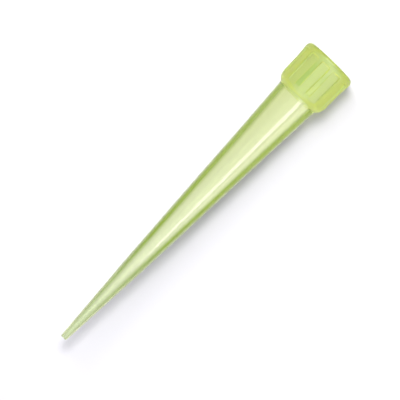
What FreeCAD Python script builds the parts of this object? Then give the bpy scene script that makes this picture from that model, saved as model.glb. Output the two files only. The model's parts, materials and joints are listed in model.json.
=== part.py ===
"""A 200 microlitre pipette tip, moulded in one piece: a hollow point made of cones that meet end to
end, over a short fluted collar whose mouth is pressed onto the nozzle of a pipette.

The tip stands on its mouth with its point straight up. Its axis is Z, the plane of the mouth is
Z = 0, and flutes face along X and Y."""
import FreeCAD, Part
import math
import os
import Sketcher

NODE = "pipette_tip"

# Driving sizes, in millimetres. Heights are measured from the plane of the mouth, so a longer or
# shorter tip changes in the cone at its point. Walls, steps and depths are radial. Lower, upper,
# foot, head and top are meant for a tip in use, held with its point down.
SIZES = {
    # outside of the point: cones that meet at the lower, middle and upper stages and at the neck
    "overall_length": 50.5,
    "point_diameter": 0.92,
    "point_edge_radius": 0.06,
    "lower_height": 37.3,
    "lower_diameter": 2.68,
    "middle_height": 24.1,
    "middle_diameter": 4.14,
    "upper_height": 13.6,
    "upper_diameter": 5.2,
    "neck_height": 6.3,
    # bore: the orifice, the walls of the cones above it, the seat that grips the nozzle, the mouth
    "orifice_diameter": 0.46,
    "lower_wall": 0.36,
    "middle_wall": 0.5,
    "upper_wall": 0.58,
    "neck_wall": 0.62,
    "seat_diameter": 5.2,
    "seat_length": 3.0,
    "seat_step": 0.19,
    "mouth_depth": 1.0,
    "mouth_flare": 0.27,
    # outside of the collar: a rounded shoulder, a wall with a little draft, and a band at the mouth
    "collar_wall": 1.14,
    "collar_draft": 0.03,
    "collar_top_height": 2.2,
    "shoulder_radius": 1.8,
    "band_rise": 0.115,
    "band_height": 1.25,
    "rim_radius": 0.65,
    # flutes sunk in the collar: flat floors, closed under the band, run out at the shoulder
    "flute_count": 12,
    "flute_depth": 0.19,
    "flute_foot_width": 1.12,
    "flute_head_width": 1.36,
    "flute_head_height": 0.95,
    "flute_corner_radius": 0.28,
}

# Radii and heights that several features share, as formulas on the sheet.
LENGTH = "Sizes.overall_length"
SEAT = "Sizes.seat_diameter / 2"
NECK_BORE = f"({SEAT} - Sizes.seat_step)"
NECK = f"({NECK_BORE} + Sizes.neck_wall)"
COLLAR = f"({SEAT} + Sizes.collar_wall)"
COLLAR_TOP = f"({COLLAR} + Sizes.collar_draft)"
BAND = f"({COLLAR_TOP} + Sizes.band_rise)"
SHOULDER_STEP = f"({COLLAR} - {NECK})"
SHOULDER_RISE = (
    f"sqrt(Sizes.shoulder_radius ^ 2 - (Sizes.shoulder_radius - {SHOULDER_STEP}) ^ 2)"
)


def half(name):
    """The formula for the radius that belongs to a diameter on the sheet."""
    return f"Sizes.{name} / 2"


def stage(name):
    """A corner where two cones of the outside meet."""
    return (half(f"{name}_diameter"), f"Sizes.{name}_height")


def inner_stage(name):
    """The corner of the bore at a stage: the outside there, less the wall."""
    return (f"{half(f'{name}_diameter')} - Sizes.{name}_wall", f"Sizes.{name}_height")


def fill_sheet(doc):
    """Put each driving size in a row of the sheet, with its name as the alias."""
    sheet = doc.addObject("Spreadsheet::Sheet", "Sizes")
    for row, (name, value) in enumerate(SIZES.items(), start=1):
        sheet.set(f"A{row}", name.replace("_", " "))
        sheet.set(f"B{row}", str(value))
        sheet.setAlias(f"B{row}", name)
    doc.recompute()


def add_sketch(body, name, role):
    """An empty sketch on the body's origin plane of that role."""
    sketch = body.newObject("Sketcher::SketchObject", name)
    plane = next(feature for feature in body.Origin.OriginFeatures if feature.Role == role)
    sketch.AttachmentSupport = (plane, "")
    sketch.MapMode = "FlatFace"
    return sketch


def bind(sketch, rule, name, formula):
    """Add a named constraint whose value follows a formula on the sheet."""
    sketch.renameConstraint(sketch.addConstraint(rule), name)
    sketch.setExpression(f"Constraints.{name}", formula)


def arc_between(start, end, radius):
    """The arc that turns anticlockwise from start to end."""
    chord = end - start
    middle = (start + end) / 2
    left = FreeCAD.Vector(-chord.y, chord.x, 0).normalize()
    centre = middle + left * math.sqrt(max(radius**2 - (chord.Length / 2) ** 2, 0))
    first, last = (math.atan2(p.y - centre.y, p.x - centre.x) for p in (start, end))
    if last < first:
        last += 2 * math.pi
    return Part.ArcOfCircle(Part.Circle(centre, FreeCAD.Vector(0, 0, 1), radius), first, last)


def draw_outline(sketch, corners, arcs):
    """A closed outline, anticlockwise through named corners.

    Each corner is a pair of formulas, across and along. An edge is straight unless arcs gives a
    radius for the corner it starts from."""
    names = list(corners)
    places = [
        FreeCAD.Vector(*(float(sketch.evalExpression(formula)) for formula in corners[name]), 0)
        for name in names
    ]
    edges = []
    for name, start, end in zip(names, places, places[1:] + places[:1]):
        if name in arcs:
            curve = arc_between(start, end, float(sketch.evalExpression(arcs[name])))
        else:
            curve = Part.LineSegment(start, end)
        edges.append(sketch.addGeometry(curve, False))
    for edge, following in zip(edges, edges[1:] + edges[:1]):
        sketch.addConstraint(Sketcher.Constraint("Coincident", edge, 2, following, 1))
    for edge, name, place in zip(edges, names, places):
        for kind, value, formula in zip(("DistanceX", "DistanceY"), place, corners[name]):
            rule = Sketcher.Constraint(kind, -1, 1, edge, 1, value)
            bind(sketch, rule, f"{name}_{'across' if kind == 'DistanceX' else 'along'}", formula)
        if name in arcs:
            radius = float(sketch.evalExpression(arcs[name]))
            bind(sketch, Sketcher.Constraint("Radius", edge, radius), f"{name}_radius", arcs[name])


def turn_outside(body):
    """The outside, turned as a solid: rounded rim, band, collar wall, shoulder and cones."""
    sketch = add_sketch(body, "outside_outline", "XZ_Plane")
    corners = {
        "mouth_centre": ("0", "0"),
        "rim_face": (f"{BAND} - Sizes.rim_radius", "0"),
        "rim_side": (BAND, "Sizes.rim_radius"),
        "band": (BAND, "Sizes.band_height"),
        "collar_top": (COLLAR_TOP, "Sizes.collar_top_height"),
        "collar": (COLLAR, f"Sizes.neck_height - {SHOULDER_RISE}"),
        "neck": (NECK, "Sizes.neck_height"),
        "upper": stage("upper"),
        "middle": stage("middle"),
        "lower": stage("lower"),
        "point_side": (half("point_diameter"), f"{LENGTH} - Sizes.point_edge_radius"),
        "point_face": (f"{half('point_diameter')} - Sizes.point_edge_radius", LENGTH),
        "point_centre": ("0", LENGTH),
    }
    arcs = {
        "rim_face": "Sizes.rim_radius",
        "collar": "Sizes.shoulder_radius",
        "point_side": "Sizes.point_edge_radius",
    }
    draw_outline(sketch, corners, arcs)
    feature = body.newObject("PartDesign::Revolution", "outside")
    return finish_turned(feature, sketch)


def turn_bore(body):
    """The bore, turned as a cut right through: flared mouth, nozzle seat, cones and orifice."""
    sketch = add_sketch(body, "bore_outline", "XZ_Plane")
    corners = {
        "mouth_centre": ("0", "0"),
        "mouth": (f"{SEAT} + Sizes.mouth_flare", "0"),
        "seat_head": (SEAT, "Sizes.mouth_depth"),
        "seat_foot": (SEAT, "Sizes.mouth_depth + Sizes.seat_length"),
        "neck": (NECK_BORE, "Sizes.neck_height"),
        "upper": inner_stage("upper"),
        "middle": inner_stage("middle"),
        "lower": inner_stage("lower"),
        "orifice": (half("orifice_diameter"), LENGTH),
        "orifice_centre": ("0", LENGTH),
    }
    draw_outline(sketch, corners, {})
    feature = body.newObject("PartDesign::Groove", "bore")
    return finish_turned(feature, sketch)


def finish_turned(feature, sketch):
    """Turn a feature's outline once round the axis of the tip."""
    feature.Profile = sketch
    feature.ReferenceAxis = (sketch, ["V_Axis"])
    feature.Angle = 360
    return feature


def cut_flutes(body):
    """The flutes: one cut outwards from its flat floor, then repeated round the axis."""
    sketch = add_sketch(body, "flute_outline", "YZ_Plane")
    sketch.setExpression(".AttachmentOffset.Base.z", f"{COLLAR} - Sizes.flute_depth")
    foot, head = half("flute_foot_width"), half("flute_head_width")
    end = "Sizes.flute_head_height"
    corner = "Sizes.flute_corner_radius"
    corners = {
        "end_left": (f"{corner} - {head}", end),
        "end_right": (f"{head} - {corner}", end),
        "head_right": (head, f"{end} + {corner}"),
        "foot_right": (foot, "Sizes.neck_height"),
        "foot_left": (f"-{foot}", "Sizes.neck_height"),
        "head_left": (f"-{head}", f"{end} + {corner}"),
    }
    draw_outline(sketch, corners, {"end_right": corner, "head_left": corner})
    flute = body.newObject("PartDesign::Pocket", "flute")
    flute.Profile = sketch
    flute.Type = "ThroughAll"
    flute.Reversed = True
    pattern = body.newObject("PartDesign::PolarPattern", "flutes")
    pattern.Originals = [flute]
    axis = next(feature for feature in body.Origin.OriginFeatures if feature.Role == "Z_Axis")
    pattern.Axis = (axis, [""])
    pattern.Angle = 360
    pattern.setExpression("Occurrences", "Sizes.flute_count")
    body.Tip = pattern
    return flute, pattern


def volumes_fall(doc, features):
    """Check that each cut takes material away."""
    volumes = [feature.Shape.Volume for feature in features]
    if any(after >= before for before, after in zip(volumes, volumes[1:])):
        raise RuntimeError(f"a cut left the volume as it was: {volumes}")


def check_and_write(doc, body):
    """Stop on any failed object or unsound shape, then write the node's STEP file."""
    failed = [item.Name for item in doc.Objects if {"Invalid", "Error"} & set(item.State)]
    if failed:
        raise RuntimeError(f"these objects failed: {failed}")
    if body.Shape.isNull() or not body.Shape.isValid() or len(body.Shape.Solids) != 1:
        raise RuntimeError(f"{body.Label} isn't one sound solid")
    os.makedirs("parts", exist_ok=True)
    body.Shape.exportStep(f"parts/{body.Label}.step")
    print(f"{body.Label}: {body.Shape.Volume:.2f} mm3, {body.Shape.BoundBox}")


doc = FreeCAD.newDocument("pipette_tip")
fill_sheet(doc)
body = doc.addObject("PartDesign::Body", NODE)
body.Label = NODE
outside = turn_outside(body)
bore = turn_bore(body)
flute, flutes = cut_flutes(body)
doc.recompute()
volumes_fall(doc, [outside, bore, flute, flutes])
check_and_write(doc, body)
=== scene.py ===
"""Builds the looks of a 200 microlitre pipette tip: the moulded tip in clear yellow-green
polypropylene, and the small studio that it stands in.

The tip stands on its mouth with its point straight up. Its axis is Z, and flutes face along X
and Y."""
import bmesh
import bpy
import json
import math
from bpy.props import (
    FloatProperty, FloatVectorProperty, IntProperty, PointerProperty, StringProperty,
)
from mathutils import Matrix, Vector
from typing import NamedTuple


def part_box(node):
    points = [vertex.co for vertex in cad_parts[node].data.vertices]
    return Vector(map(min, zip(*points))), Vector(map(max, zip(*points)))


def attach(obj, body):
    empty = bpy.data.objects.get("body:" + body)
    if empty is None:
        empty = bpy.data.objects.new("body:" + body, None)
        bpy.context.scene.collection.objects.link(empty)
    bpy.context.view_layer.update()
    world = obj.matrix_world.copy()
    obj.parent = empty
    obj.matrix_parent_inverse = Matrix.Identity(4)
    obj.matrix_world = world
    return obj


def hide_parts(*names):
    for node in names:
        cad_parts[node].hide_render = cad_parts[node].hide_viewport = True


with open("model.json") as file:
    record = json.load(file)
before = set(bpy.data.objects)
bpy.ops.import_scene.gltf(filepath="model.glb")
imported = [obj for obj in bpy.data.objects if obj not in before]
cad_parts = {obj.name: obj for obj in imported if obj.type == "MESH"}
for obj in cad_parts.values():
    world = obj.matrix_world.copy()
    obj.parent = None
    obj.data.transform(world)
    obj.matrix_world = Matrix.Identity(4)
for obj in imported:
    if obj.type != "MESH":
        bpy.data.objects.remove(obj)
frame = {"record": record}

bl_info = {
    "name": "Pipette Tip",
    "version": (1, 0, 0),
    "blender": (4, 5, 0),
    "location": "3D View > Sidebar > Pipette Tip",
    "description": "Models a moulded pipette tip and the studio that it stands in",
    "category": "Add Mesh",
}

MM = 0.001
NODE = "pipette_tip"
LOWEST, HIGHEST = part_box(NODE)
NARROWEST = min(-LOWEST.x, HIGHEST.x, -LOWEST.y, HIGHEST.y)
NOZZLE_SEAT = next(m for m in frame["record"]["mounts"] if m["name"] == "nozzle_seat")

# How far the rounding of each kind of corner reaches, in mm, and the parts that it is made of.
ROUNDINGS = {
    "mouth": (0.07, 3),
    "band": (0.15, 3),
    "neck": (0.04, 3),
    "stage": (0.8, 4),
    "orifice": (0.02, 2),
    "neck bore": (0.3, 4),
    "seat foot": (0.2, 4),
    "seat head": (0.15, 3),
}

# The tip has this many sides for each flute, so half of a flute's share of the collar has 16. Of
# those, the first 5 lie on the flute's floor, the next 7 on its edge and the last 4 on the rib.
SIDES_PER_FLUTE = 32
FLOOR_SHARE = 5 / 16
EDGE_SHARE = 12 / 16

# How far those on a flute's edge spread to each side of it, as a share of the edge's own width.
EDGE_SPREAD = 0.8

# Vertices nearer than this are joined, in mm.
WELD = 0.0002

# Card's own colour, how white it shows through plastic, and the white added to each sheet of it.
CARD_COLOUR = (0.53, 0.524, 0.552, 1)
THROUGH_PLASTIC = 0.88
FLOOR_LIFT = 0.68
BACKDROP_LIFT = 0.165

# Soft light from all round, and what is mirrored of it: how strong each is, and its tone.
SOFT_LEVEL = 0.53
SOFT_TONE = (0.91, 0.925, 1, 1)
MIRRORED_LEVEL = 0.55
MIRRORED_TONE = (1, 1, 0.75, 1)
WHITE = (1, 1, 1, 1)


class Softbox(NamedTuple):
    """A rectangular softbox: its place, width and height in mm, and how strongly it lights its aim,
    whatever its distance. The aim is a share of the tip's length, from its mouth. It lights only
    the things in lit, and isn't seen by the kinds of ray in unseen."""

    name: str
    place: tuple
    width: float
    height: float
    light: float
    colour: tuple = (1, 1, 1)
    aim: float = 0.5
    lit: tuple = ("moulded_tip",)
    unseen: tuple = ()


SOFTBOXES = (
    # low down and towards +X, for the shadow: the small one gives its edge, the wide one its tail
    Softbox(
        "small_softbox", (35, -243, -50), 76, 84, light=0.8, colour=(1.0, 0.995, 0.98),
        lit=("floor", "backdrop"),
    ),
    Softbox(
        "wide_softbox", (115, -216, -50), 220, 84, light=0.99, colour=(1.0, 0.995, 0.98),
        lit=("floor", "backdrop"),
    ),
    # towards -X, for the bright streak along the point and the sheen beside it
    Softbox(
        "strip_softbox", (-126, -198, 35), 84, 100, light=0.43, colour=(1, 0.9, 1),
        unseen=("diffuse", "transmission"),
    ),
    Softbox(
        "side_softbox", (-221, -80, 25), 150, 100, light=0.28, colour=(1, 0.97, 0.95),
        unseen=("diffuse", "transmission"),
    ),
    # for the rim, from below
    Softbox(
        "low_softbox", (0, -130, -190), 140, 140, light=1.0, aim=0,
        unseen=("diffuse", "transmission"),
    ),
    # soft light from the front and from above
    Softbox("front_softbox", (0, -260, 40), 240, 240, light=0.55, unseen=("glossy",)),
    Softbox("top_softbox", (0, -60, 420), 260, 260, light=0.5, lit=("floor", "moulded_tip")),
)


def linear(code):
    """An sRGB hex colour as linear red, green and blue, and an alpha of 1."""
    shares = (int(code[place:place + 2], 16) / 255 for place in (1, 3, 5))
    return (*(c / 12.92 if c <= 0.04045 else ((c + 0.055) / 1.055) ** 2.4 for c in shares), 1)


# ---- settings ----


def size(name, description, millimetres):
    """A property for one size of the tip or the studio."""
    return FloatProperty(
        name=name, description=description, default=millimetres * MM, min=0, unit="LENGTH",
        precision=5,
    )


def angle(name, description, degrees):
    """A property for one angle of the studio."""
    return FloatProperty(
        name=name, description=description, default=math.radians(degrees), subtype="ANGLE",
        unit="ROTATION",
    )


def dye(name, description, code):
    """A property for one colour of the plastic, as an sRGB hex code."""
    return StringProperty(name=name, description=f"sRGB hex of {description}", default=code)


class TipSizes(bpy.types.PropertyGroup):
    """The sizes of the tip. Heights are measured from the plane of its mouth."""

    overall_length: size(
        "Overall length", "From the mouth to the end of the point", (HIGHEST.z - LOWEST.z) / MM
    )
    point_diameter: size("Point diameter", "Across the end of the point", 0.92)
    point_edge_radius: size("Point edge radius", "Rounding of the point's outer edge", 0.06)
    lower_height: size("Lower stage height", "Where the first two cones meet", 37.3)
    lower_diameter: size("Lower stage diameter", "Across the lower stage", 2.68)
    middle_height: size("Middle stage height", "Where the middle cones meet", 24.1)
    middle_diameter: size("Middle stage diameter", "Across the middle stage", 4.14)
    upper_height: size("Upper stage height", "Where the last two cones meet", 13.6)
    upper_diameter: size("Upper stage diameter", "Across the upper stage", 5.2)
    neck_height: size("Neck height", "Where the cones meet the collar", 6.3)
    orifice_diameter: size("Orifice diameter", "Bore at the end of the point", 0.46)
    lower_wall: size("Lower wall", "Wall at the lower stage", 0.36)
    middle_wall: size("Middle wall", "Wall at the middle stage", 0.5)
    upper_wall: size("Upper wall", "Wall at the upper stage", 0.58)
    neck_wall: size("Neck wall", "Wall at the neck", 0.62)
    seat_diameter: size(
        "Seat diameter", "Bore that grips the nozzle", 2 * NOZZLE_SEAT["dims"]["r_mm"]
    )
    seat_length: size("Seat length", "Length of the seat", NOZZLE_SEAT["dims"]["length_mm"])
    seat_step: size("Seat step", "How far the bore narrows from the seat to the neck", 0.19)
    mouth_depth: size("Mouth depth", "From the mouth to the seat", 1.0)
    mouth_flare: size("Mouth flare", "How far the mouth widens from the seat", 0.27)
    collar_wall: size("Collar wall", "Wall of the collar at its shoulder", 1.14)
    collar_draft: size("Collar draft", "How far the collar widens to the band", 0.03)
    collar_top_height: size("Collar top height", "Where the collar meets the band", 2.2)
    shoulder_radius: size("Shoulder radius", "Rounding of the shoulder", 1.8)
    band_diameter: size("Band diameter", "Across the band, the widest place", 2 * NARROWEST / MM)
    band_height: size("Band height", "Where the band begins to fall", 1.25)
    rim_radius: size("Rim radius", "Rounding of the rim", 0.65)
    flute_count: IntProperty(
        name="Flutes", description="Flutes round the collar", default=12, min=3
    )
    flute_depth: size("Flute depth", "Depth of a flute at its middle", 0.19)
    flute_foot_width: size("Flute foot width", "Width of a flute at the neck", 1.12)
    flute_head_width: size("Flute head width", "Width of a flute at the band", 1.36)
    flute_head_height: size("Flute head height", "Height of the closed end of a flute", 0.95)
    flute_corner_radius: size("Flute corner radius", "Rounding of a flute's closed end", 0.28)
    flute_edge: size("Flute edge", "Width of the rounded edge of a flute", 0.15)


class PlasticLook(bpy.types.PropertyGroup):
    """The colour and finish of the tip's plastic."""

    face_colour: dye("Face colour", "a clear wall seen square on", "#F8FCFA")
    point_colour: dye("Point colour", "the clear wall by the point's end", "#F4FAEE")
    # painted shade, partly dye: the edge colour is laid on where the clear wall turns edge-on
    edge_dye_and_shade_colour: dye("Edge colour", "a clear wall with the side of the bore behind it", "#8CAC2E")
    rib_colour: dye("Rib colour", "the frosted collar", "#DDE8AC")
    cloud_colour: dye("Cloud colour", "the collar's greener clouds", "#CCE6B0")
    flute_colour: dye("Flute colour", "the flutes' thinner wall", "#EDF6DA")
    # painted light, partly dye: the side colour is lighter and yellower, laid where the collar
    # turns away
    side_dye_and_light_colour: dye("Side colour", "the collar where it turns away", "#F0F6A0")
    tint: FloatVectorProperty(
        name="Tint", description="Light left after one tint depth of plastic", subtype="COLOR",
        default=(0.97, 0.995, 0.1), min=0, max=1,
    )
    tint_density: FloatProperty(
        name="Tint density", description="Tint depths in a metre", default=600, min=0
    )
    ior: FloatProperty(
        name="IOR", description="Refractive index of polypropylene", default=1.49, min=1
    )


class StudioSettings(bpy.types.PropertyGroup):
    """The camera, floor and backdrop."""

    lens: FloatProperty(
        name="Lens", description="Focal length on a 36 mm sensor, in mm", default=153.7, min=1
    )
    distance: size("Camera distance", "From the camera to the middle of the tip", 224)
    aim_height: size("Aim height", "Height that the camera looks at", 24.9)
    aim_shift: size("Aim shift", "How far the camera looks beside the tip's axis", 0.26)
    turn: angle("Turn", "Camera's swing round the tip, towards -X", 2.85)
    dip: angle("Dip", "How far the camera looks up", 2.9)
    roll: angle("Roll", "Slope of the tip in the picture, collar upwards", 45.85)
    floor_reach: size("Floor reach", "From the tip to each edge of the floor", 1500)
    backdrop_gap: size("Backdrop gap", "From the tip's band to the backdrop", 0.05)
    backdrop_height: size("Backdrop height", "From the floor to the top of the backdrop", 140)
    backdrop_reach: size("Backdrop reach", "From the tip to each side of the backdrop", 130)
    backdrop_lean: angle("Backdrop lean", "How far the backdrop leans back", 0.8)


# ---- the moulded tip ----


def line_on(bm, last, radius, height, parts=1):
    """Draw the outline on in a straight run, in equal parts, and give its new last point."""
    start, end = last.co.copy(), Vector((radius, 0, height))
    for part in range(1, parts + 1):
        last = bmesh.ops.extrude_vert_indiv(bm, verts=[last])["verts"][0]
        last.co = start.lerp(end, part / parts)
    return last


def arc_on(bm, last, radius, height, turn, parts):
    """Draw the outline on in an arc that bulges outwards round a centre, and give its new last
    point."""
    made = bmesh.ops.spin(
        bm, geom=[last], cent=(radius, 0, height), axis=(0, -1, 0), angle=turn, steps=parts
    )
    return next(item for item in made["geom_last"] if isinstance(item, bmesh.types.BMVert))


def draw_section(bm, s):
    """Draw half of the tip's section as a closed wire: up the outside, and down the bore."""
    length = s.overall_length
    seat = s.seat_diameter / 2
    neck_bore = seat - s.seat_step
    neck = neck_bore + s.neck_wall
    collar = seat + s.collar_wall
    collar_top = collar + s.collar_draft
    band = s.band_diameter / 2
    mouth = seat + s.mouth_flare
    rise = math.sqrt(s.shoulder_radius**2 - (s.shoulder_radius - (collar - neck)) ** 2)
    shoulder = s.neck_height - rise
    point = s.point_diameter / 2
    orifice = s.orifice_diameter / 2
    corners = []

    def corner(vertex, kind):
        corners.append((vertex, kind))
        return vertex

    # the rim and band, with close rings from a little below the flutes' ends
    margin = 0.1 * MM
    last = first = corner(bm.verts.new((mouth, 0, 0)), "mouth")
    last = line_on(bm, last, band - s.rim_radius, 0, parts=2)
    last = arc_on(bm, last, band - s.rim_radius, s.rim_radius, math.pi / 2, parts=14)
    last = line_on(bm, last, band, s.flute_head_height - margin)
    last = line_on(bm, last, band, s.band_height, parts=12)
    close = 0.3  # the share of the band's fall that still has close rings
    fallen = band + (collar_top - band) * close
    last = line_on(
        bm, last, fallen, s.band_height + (s.collar_top_height - s.band_height) * close, parts=7
    )
    last = corner(line_on(bm, last, collar_top, s.collar_top_height, parts=4), "band")
    # the collar and its shoulder
    last = line_on(bm, last, collar, shoulder, parts=8)
    turn = math.asin(rise / s.shoulder_radius)
    last = arc_on(bm, last, collar - s.shoulder_radius, shoulder, turn, parts=28)
    corner(last, "neck")
    # the cones, up to the point
    for name, parts in (("upper", 5), ("middle", 6), ("lower", 7)):
        diameter, height = getattr(s, f"{name}_diameter"), getattr(s, f"{name}_height")
        last = corner(line_on(bm, last, diameter / 2, height, parts), "stage")
    last = line_on(bm, last, point, length - s.point_edge_radius, parts=7)
    last = arc_on(
        bm, last, point - s.point_edge_radius, length - s.point_edge_radius, math.pi / 2, parts=5
    )
    last = corner(line_on(bm, last, orifice, length), "orifice")
    # the bore, back down to the mouth
    for name, parts in (("lower", 7), ("middle", 7), ("upper", 6)):
        radius = getattr(s, f"{name}_diameter") / 2 - getattr(s, f"{name}_wall")
        last = corner(line_on(bm, last, radius, getattr(s, f"{name}_height"), parts), "stage")
    last = corner(line_on(bm, last, neck_bore, s.neck_height, parts=5), "neck bore")
    last = corner(line_on(bm, last, seat, s.mouth_depth + s.seat_length, parts=3), "seat foot")
    last = corner(line_on(bm, last, seat, s.mouth_depth, parts=4), "seat head")
    last = line_on(bm, last, mouth, 0, parts=3)
    bmesh.ops.pointmerge(bm, verts=[first, last], merge_co=first.co)
    for kind, (reach, parts) in ROUNDINGS.items():
        chosen = [vertex for vertex, its in corners if its == kind and vertex.is_valid]
        bmesh.ops.bevel(
            bm, geom=chosen, offset=reach * MM, offset_type="OFFSET", segments=parts,
            profile=0.5, affect="VERTICES", material=-1,
        )


def ease(value):
    """A smooth rise from 0 to 1."""
    value = min(max(value, 0), 1)
    return value * value * (3 - 2 * value)


def flute_width(s, height):
    """Half the width of a flute at a height."""
    head = s.flute_head_height + s.flute_corner_radius
    share = (height - head) / (s.neck_height - head)
    return (s.flute_head_width + (s.flute_foot_width - s.flute_head_width) * share) / 2


def outside_flute(s, across, height):
    """How far a place lies outside a flute's outline, in metres; inside it is below nought."""
    corner = s.flute_corner_radius
    side = abs(across) - flute_width(s, height) + corner
    end = s.flute_head_height - height + corner
    return math.hypot(max(side, 0), max(end, 0)) - corner + min(max(side, end), 0)


def sink_flutes(bm, s):
    """Sink the flutes in the collar's outside: gather its lengthwise edges along the sides of each
    flute, then move the vertices between them in to the flat floor."""
    half_pitch = math.pi / s.flute_count
    floor = s.seat_diameter / 2 + s.collar_wall - s.flute_depth
    # the bore stays as it is, so its widest place is left out with a little to spare
    bore = s.seat_diameter / 2 + s.mouth_flare + 0.1 * MM
    low, high = s.rim_radius, s.neck_height
    # the edges are gathered a little at a time over these heights
    low_fade, high_fade = 0.2 * MM, 0.4 * MM
    for vertex in bm.verts:
        radius, height = math.hypot(vertex.co.x, vertex.co.y), vertex.co.z
        if radius < bore or not low < height < high:
            continue
        bearing = math.atan2(vertex.co.y, vertex.co.x)
        middle = round(bearing / (2 * half_pitch)) * 2 * half_pitch
        share = abs(bearing - middle) / half_pitch
        side = math.asin(flute_width(s, height) / radius)
        spread = EDGE_SPREAD * s.flute_edge / radius
        inner, outer = side - spread, side + spread
        if share < FLOOR_SHARE:
            gathered = inner * share / FLOOR_SHARE
        elif share < EDGE_SHARE:
            gathered = inner + 2 * spread * (share - FLOOR_SHARE) / (EDGE_SHARE - FLOOR_SHARE)
        else:
            gathered = outer + (half_pitch - outer) * (share - EDGE_SHARE) / (1 - EDGE_SHARE)
        held = ease((height - low) / low_fade) * ease((high - height) / high_fade)
        off = math.copysign(share * half_pitch * (1 - held) + gathered * held, bearing - middle)
        out, across = radius * math.cos(off), radius * math.sin(off)
        # the rounded edge is centred on the flute's outline
        sunk = 1 - ease(outside_flute(s, across, height) / s.flute_edge + 0.5)
        out -= sunk * max(out - floor, 0)
        vertex.co.x = out * math.cos(middle) - across * math.sin(middle)
        vertex.co.y = out * math.sin(middle) + across * math.cos(middle)


def model_tip(s):
    """The whole tip as one closed skin, turned from half of its section and then fluted."""
    bm = bmesh.new()
    draw_section(bm, s)
    bmesh.ops.spin(
        bm, geom=bm.verts[:] + bm.edges[:], cent=(0, 0, 0), axis=(0, 0, 1), angle=2 * math.pi,
        steps=SIDES_PER_FLUTE * s.flute_count, use_merge=True,
    )
    bmesh.ops.remove_doubles(bm, verts=bm.verts[:], dist=WELD * MM)
    sink_flutes(bm, s)
    bmesh.ops.recalc_face_normals(bm, faces=bm.faces[:])
    for face in bm.faces:
        face.smooth = True
    axis_x, axis_y, _ = NOZZLE_SEAT["pos_m"]
    bmesh.ops.translate(bm, vec=(axis_x, axis_y, LOWEST.z), verts=bm.verts[:])
    mesh = bpy.data.meshes.new("moulded_tip")
    bm.to_mesh(mesh)
    bm.free()
    tip = bpy.data.objects.new("moulded_tip", mesh)
    bpy.context.scene.collection.objects.link(tip)
    return tip


# ---- materials ----


def add_node(tree, kind, settings=None, **links):
    """Add a node, set its fields, and fill its sockets with values or with other nodes' outputs.
    A socket is given by its name, or by its number after an underscore."""
    node = tree.nodes.new(kind)
    for field, value in (settings or {}).items():
        setattr(node, field, value)
    for name, value in links.items():
        numbered = name[0] == "_" and name[1:].isdigit()
        socket = node.inputs[int(name[1:]) if numbered else name.replace("_", " ")]
        if isinstance(value, bpy.types.NodeSocket):
            tree.links.new(value, socket)
        else:
            socket.default_value = value
    return node


def reckon(tree, operation, *values):
    """The result of a sum on numbers and other nodes' outputs."""
    links = {f"_{place}": value for place, value in enumerate(values)}
    return add_node(tree, "ShaderNodeMath", {"operation": operation}, **links).outputs[0]


def ramp(tree, value, low, high, at_low=0.0, at_high=1.0, kind="SMOOTHSTEP"):
    """A level that goes from at_low to at_high while the value goes from low to high."""
    return add_node(
        tree, "ShaderNodeMapRange", {"interpolation_type": kind}, Value=value,
        From_Min=low, From_Max=high, To_Min=at_low, To_Max=at_high,
    ).outputs["Result"]


def blend(tree, share, first, second):
    """The first colour where share is 0, the second where it is 1, and a mixture between."""
    return add_node(
        tree, "ShaderNodeMix", {"data_type": "RGBA"}, _0=share, _6=first, _7=second
    ).outputs[2]


def noise(tree, place, along=1.0, shift=(0, 0, 0), **settings):
    """Noise measured in mm, and drawn out along the tip where along is below 1."""
    spot = add_node(
        tree, "ShaderNodeMapping", Vector=place, Location=shift,
        Scale=(1 / MM, 1 / MM, along / MM),
    ).outputs["Vector"]
    return add_node(tree, "ShaderNodeTexNoise", Vector=spot, **settings).outputs["Fac"]


def new_material(name):
    """A material with an empty node tree."""
    material = bpy.data.materials.new(name)
    material.use_nodes = True
    material.node_tree.nodes.clear()
    return material, material.node_tree


def clear_colour(tree, s, look, height, radius, facing):
    """The colour of the clear point. A darker green line is painted inside its outline, where the
    side
    of the bore lies behind it: partly its dye seen over a longer path, partly painted shade. Radius
    is in mm."""
    # the line shifts with each mm of radius: it is nearer to the outline where the tip is stout
    inner_shift, outer_shift = -0.1, -0.16
    inner = reckon(tree, "MULTIPLY_ADD", radius, inner_shift, facing)
    inner = ramp(tree, inner, low=-0.13, high=0.12)
    outer = reckon(tree, "MULTIPLY_ADD", radius, outer_shift, facing)
    outer = ramp(tree, outer, low=0.16, high=0.34, at_low=1.0, at_high=0.1)
    depth = ramp(tree, radius, low=0.5, high=1.6, at_low=0.3, kind="LINEAR")
    # the outside alone has it, which is all that lies outside the middle of the wall
    wall = (s.upper_diameter - s.upper_wall) / 2
    end_wall = (s.point_diameter + s.orifice_diameter) / 4
    taper = (wall - end_wall) / (s.overall_length - s.upper_height)
    reach = reckon(tree, "MULTIPLY_ADD", height, taper / MM, radius)
    outside = reckon(tree, "GREATER_THAN", reach, (wall + taper * s.upper_height) / MM)
    # painted shade, partly dye: the edge colour goes where the wall turns edge-on to the view
    edge_dye_and_shade_share = reckon(tree, "MULTIPLY", inner, outer)
    edge_dye_and_shade_share = reckon(tree, "MULTIPLY", edge_dye_and_shade_share, depth)
    edge_dye_and_shade_share = reckon(tree, "MULTIPLY", edge_dye_and_shade_share, outside)
    stout = ramp(tree, radius, low=0.4, high=1.4, kind="LINEAR")
    face = blend(tree, stout, linear(look.point_colour), linear(look.face_colour))
    return blend(tree, edge_dye_and_shade_share, face, linear(look.edge_dye_and_shade_colour))


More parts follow.
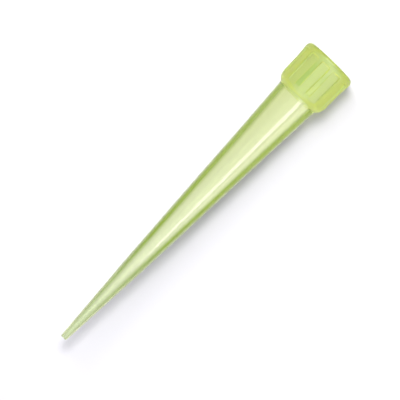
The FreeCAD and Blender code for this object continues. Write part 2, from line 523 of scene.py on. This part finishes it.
def frosted_colour(tree, s, look, height, radius, facing, clouds):
    """The colour of the frosted collar, with painted light on its sides. Radius is in mm."""
    # the wall is thinner under the flutes, so they are paler than the ribs between them
    collar_radius = (s.seat_diameter / 2 + s.collar_wall) / MM
    rib = ramp(tree, radius, low=collar_radius - 0.13, high=collar_radius - 0.02)
    above_band = ramp(
        tree, height, low=s.flute_head_height, high=s.collar_top_height, at_low=0.3
    )
    rib = reckon(tree, "MULTIPLY", rib, above_band)
    cloudy = ramp(tree, clouds, low=0.42, high=0.58, kind="LINEAR")
    thick = blend(tree, cloudy, linear(look.rib_colour), linear(look.cloud_colour))
    frosted = blend(tree, rib, linear(look.flute_colour), thick)
    # the collar's sides, where they turn away, are lighter and yellower: partly the dye over a
    # longer path through the plastic, partly painted light
    side_dye_and_light_share = ramp(tree, facing, low=0.1, high=0.3, at_high=0.8)
    return blend(tree, side_dye_and_light_share, frosted, linear(look.side_dye_and_light_colour))


def moulded_polypropylene(s, look):
    """Injection-moulded polypropylene, dyed yellow-green. Polished steel leaves the point clear,
    with a crisp streak of light. Spark-eroded steel leaves the collar frosted, with a soft
    sheen."""
    material, tree = new_material("injection_moulded_polypropylene")
    place = add_node(tree, "ShaderNodeTexCoord").outputs["Object"]
    height = add_node(tree, "ShaderNodeSeparateXYZ", Vector=place).outputs["Z"]
    across = add_node(
        tree, "ShaderNodeMapping", Vector=place, Scale=(1 / MM, 1 / MM, 0)
    ).outputs["Vector"]
    radius = add_node(
        tree, "ShaderNodeVectorMath", {"operation": "LENGTH"}, _0=across
    ).outputs["Value"]
    facing = add_node(tree, "ShaderNodeLayerWeight", Blend=0.5).outputs["Facing"]
    # the collar is frosted up to its shoulder, and the point is polished
    collar = ramp(tree, height, low=s.neck_height + 0.25 * MM, high=s.neck_height + 0.05 * MM)
    # clouding: the plastic's crystals leave it faintly uneven over a few millimetres
    clouds = noise(
        tree, place, along=0.25, shift=(3, 1, 2), Scale=0.45, Detail=3.0, Roughness=0.55
    )
    # draw lines: the polished core leaves faint streaks along the tip
    streaks = noise(tree, place, along=0.004, Scale=1.6, Detail=2.0, Roughness=0.5)
    # frost: spark-eroded steel leaves a grain of about 0.05 mm, drawn at 0.15 mm so that it shows
    grain = noise(tree, place, Scale=6.5, Detail=1.0, Roughness=0.5)
    # the colour holds painted shade along the clear point's edges and painted light on the collar's
    # sides
    colour = blend(
        tree, collar, clear_colour(tree, s, look, height, radius, facing),
        frosted_colour(tree, s, look, height, radius, facing, clouds),
    )
    clear = ramp(tree, collar, low=0.0, high=1.0, at_low=0.92, at_high=0.8, kind="LINEAR")
    cloud_share, streak_share = 0.08, 0.06
    clear = reckon(tree, "MULTIPLY_ADD", clouds, cloud_share, clear)
    clear = reckon(tree, "SUBTRACT", clear, cloud_share / 2)
    rough = ramp(tree, collar, low=0.0, high=1.0, at_low=0.12, at_high=0.35, kind="LINEAR")
    rough = reckon(tree, "MULTIPLY_ADD", streaks, streak_share, rough)
    frost = add_node(
        tree, "ShaderNodeBump", Strength=0.12, Distance=0.02 * MM,
        Height=reckon(tree, "MULTIPLY", grain, collar),
    ).outputs["Normal"]
    lines = add_node(
        tree, "ShaderNodeBump", Strength=0.015, Distance=0.03 * MM, Height=streaks, Normal=frost
    ).outputs["Normal"]
    skin = add_node(
        tree, "ShaderNodeBsdfPrincipled", Base_Color=colour, Transmission_Weight=clear,
        Roughness=rough, Normal=lines, IOR=look.ior,
    )
    body = add_node(
        tree, "ShaderNodeVolumeAbsorption", Color=(*look.tint, 1), Density=look.tint_density
    )
    add_node(
        tree, "ShaderNodeOutputMaterial", Surface=skin.outputs["BSDF"],
        Volume=body.outputs["Volume"],
    )
    return material


def pale_card(name, lift, one_sided=False):
    """Matt pale card. Lift is the white added where it is seen or mirrored. Through plastic it
    shows as nearly even white."""
    material, tree = new_material(name)
    path = add_node(tree, "ShaderNodeLightPath").outputs
    seen = reckon(tree, "MAXIMUM", path["Is Camera Ray"], path["Is Glossy Ray"])
    paper = add_node(tree, "ShaderNodeBsdfDiffuse", Color=CARD_COLOUR).outputs[0]
    glow = add_node(
        tree, "ShaderNodeEmission", Strength=reckon(tree, "MULTIPLY", seen, lift)
    ).outputs[0]
    shader = add_node(tree, "ShaderNodeAddShader", _0=paper, _1=glow).outputs[0]
    white = add_node(tree, "ShaderNodeEmission", Strength=THROUGH_PLASTIC).outputs[0]
    shader = add_node(
        tree, "ShaderNodeMixShader", _0=path["Is Transmission Ray"], _1=shader, _2=white
    ).outputs[0]
    if one_sided:
        back = add_node(tree, "ShaderNodeNewGeometry").outputs["Backfacing"]
        clear = add_node(tree, "ShaderNodeBsdfTransparent").outputs[0]
        shader = add_node(tree, "ShaderNodeMixShader", _0=back, _1=shader, _2=clear).outputs[0]
    add_node(tree, "ShaderNodeOutputMaterial", Surface=shader)
    return material


# ---- the studio ----


def add_sheet(name, corners, material):
    """A flat sheet of card through four corners."""
    bm = bmesh.new()
    bm.faces.new([bm.verts.new(corner) for corner in corners])
    mesh = bpy.data.meshes.new(name)
    bm.to_mesh(mesh)
    bm.free()
    mesh.materials.append(material)
    sheet = bpy.data.objects.new(name, mesh)
    bpy.context.scene.collection.objects.link(sheet)
    # only the tip throws a shadow, and the softboxes below the floor shine through it
    sheet.visible_shadow = False
    return sheet


def add_floor(studio):
    """The floor, level with the tip's mouth."""
    reach = studio.floor_reach
    corners = [(-reach, -reach, 0), (reach, -reach, 0), (reach, reach, 0), (-reach, reach, 0)]
    return add_sheet("floor", corners, pale_card("floor_card", FLOOR_LIFT))


def add_backdrop(studio):
    """The backdrop, just clear of the tip's band and leaning back a little."""
    wide, top = studio.backdrop_reach, studio.backdrop_height
    foot = HIGHEST.y + studio.backdrop_gap
    head = foot + top * math.tan(studio.backdrop_lean)
    corners = [(-wide, foot, 0), (wide, foot, 0), (wide, head, top), (-wide, head, top)]
    card = pale_card("backdrop_card", BACKDROP_LIFT, one_sided=True)
    return add_sheet("backdrop", corners, card)


def add_softbox(box, length):
    """Hang a softbox by the tip, and let it light only the things that it is meant for."""
    place, aim = MM * Vector(box.place), Vector((0, 0, box.aim * length))
    lamp = bpy.data.lights.new(box.name, "AREA")
    lamp.shape = "RECTANGLE"
    lamp.size, lamp.size_y = box.width * MM, box.height * MM
    lamp.color = box.colour
    lamp.energy = box.light * math.pi**2 * (place - aim).length ** 2
    softbox = bpy.data.objects.new(box.name, lamp)
    bpy.context.scene.collection.objects.link(softbox)
    softbox.location = place
    softbox.rotation_euler = (place - aim).to_track_quat("Z", "Y").to_euler()
    for rays in box.unseen:
        setattr(softbox, f"visible_{rays}", False)
    lit = bpy.data.collections.new(f"lit_by_{box.name}")
    for name in box.lit:
        lit.objects.link(bpy.data.objects[name])
    softbox.light_linking.receiver_collection = lit


def light_world():
    """White where it is seen, straight or through plastic; plain soft light elsewhere, warmer where
    it is mirrored."""
    world = bpy.data.worlds.new("studio")
    bpy.context.scene.world = world
    world.use_nodes = True
    tree = world.node_tree
    tree.nodes.clear()
    path = add_node(tree, "ShaderNodeLightPath").outputs
    seen = reckon(tree, "MAXIMUM", path["Is Camera Ray"], path["Is Transmission Ray"])
    mirrored = path["Is Glossy Ray"]
    level = add_node(
        tree, "ShaderNodeMix", {"data_type": "FLOAT"}, _0=mirrored, _2=SOFT_LEVEL,
        _3=MIRRORED_LEVEL,
    ).outputs[0]
    level = add_node(
        tree, "ShaderNodeMix", {"data_type": "FLOAT"}, _0=seen, _2=level, _3=1.0
    ).outputs[0]
    tone = blend(tree, mirrored, SOFT_TONE, MIRRORED_TONE)
    tone = blend(tree, seen, tone, WHITE)
    sky = add_node(tree, "ShaderNodeBackground", Color=tone, Strength=level)
    add_node(tree, "ShaderNodeOutputWorld", Surface=sky.outputs["Background"])


def add_camera(studio):
    """The camera, in front of the tip and rolled so that the tip slopes across the picture."""
    back = Vector((
        -math.sin(studio.turn) * math.cos(studio.dip),
        -math.cos(studio.turn) * math.cos(studio.dip),
        -math.sin(studio.dip),
    ))
    down = Vector((0, 0, -1))
    along = (down - down.dot(back) * back).normalized()
    across = along.cross(back)
    right = math.cos(studio.roll) * along + math.sin(studio.roll) * across
    up = math.sin(studio.roll) * along - math.cos(studio.roll) * across
    aim = Vector((0, 0, studio.aim_height)) + studio.aim_shift * across
    lens = bpy.data.cameras.new("camera")
    lens.sensor_width = 36
    lens.lens = studio.lens
    lens.clip_start, lens.clip_end = 0.01, 10
    camera = bpy.data.objects.new("camera", lens)
    bpy.context.scene.collection.objects.link(camera)
    turned = Matrix((right, up, back)).transposed().to_4x4()
    camera.matrix_world = Matrix.Translation(aim + back * studio.distance) @ turned
    bpy.context.scene.camera = camera


# ---- operators, panel and registration ----


class PIPETTE_OT_moulded_tip(bpy.types.Operator):
    """Model the moulded tip and give it its plastic"""

    bl_idname = "pipette.moulded_tip"
    bl_label = "Moulded tip"

    def execute(self, context):
        sizes, look = context.scene.tip_sizes, context.scene.plastic_look
        tip = model_tip(sizes)
        tip.data.materials.append(moulded_polypropylene(sizes, look))
        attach(tip, "root")
        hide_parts(NODE)
        return {"FINISHED"}


class PIPETTE_OT_studio(bpy.types.Operator):
    """Set up the floor, backdrop, lights and camera"""

    bl_idname = "pipette.studio"
    bl_label = "Studio"

    def execute(self, context):
        scene = context.scene
        scene.view_settings.view_transform = "Standard"
        light_world()
        add_floor(scene.studio_settings)
        add_backdrop(scene.studio_settings)
        for box in SOFTBOXES:
            add_softbox(box, scene.tip_sizes.overall_length)
        add_camera(scene.studio_settings)
        return {"FINISHED"}


class PIPETTE_PT_panel(bpy.types.Panel):
    """The tip's operators and sizes"""

    bl_idname = "PIPETTE_PT_panel"
    bl_label = "Pipette Tip"
    bl_space_type = "VIEW_3D"
    bl_region_type = "UI"
    bl_category = "Pipette Tip"

    def draw(self, context):
        layout, scene = self.layout, context.scene
        for kind in OPERATORS:
            layout.operator(kind.bl_idname)
        for group in (scene.tip_sizes, scene.plastic_look, scene.studio_settings):
            box = layout.box()
            for name in group.__annotations__:
                box.prop(group, name)


OPERATORS = (PIPETTE_OT_moulded_tip, PIPETTE_OT_studio)
GROUPS = {"tip_sizes": TipSizes, "plastic_look": PlasticLook, "studio_settings": StudioSettings}


def register():
    """Register the add-on's classes, and hang its settings on the scene."""
    for kind in (*GROUPS.values(), *OPERATORS, PIPETTE_PT_panel):
        bpy.utils.register_class(kind)
    for name, group in GROUPS.items():
        setattr(bpy.types.Scene, name, PointerProperty(type=group))


def unregister():
    """Take the settings off the scene, and unregister the classes."""
    for name in GROUPS:
        delattr(bpy.types.Scene, name)
    for kind in reversed((*GROUPS.values(), *OPERATORS, PIPETTE_PT_panel)):
        bpy.utils.unregister_class(kind)


def main():
    """Register the add-on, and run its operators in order."""
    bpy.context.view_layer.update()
    register()
    bpy.ops.pipette.moulded_tip()
    bpy.ops.pipette.studio()


if __name__ == "__main__":
    main()
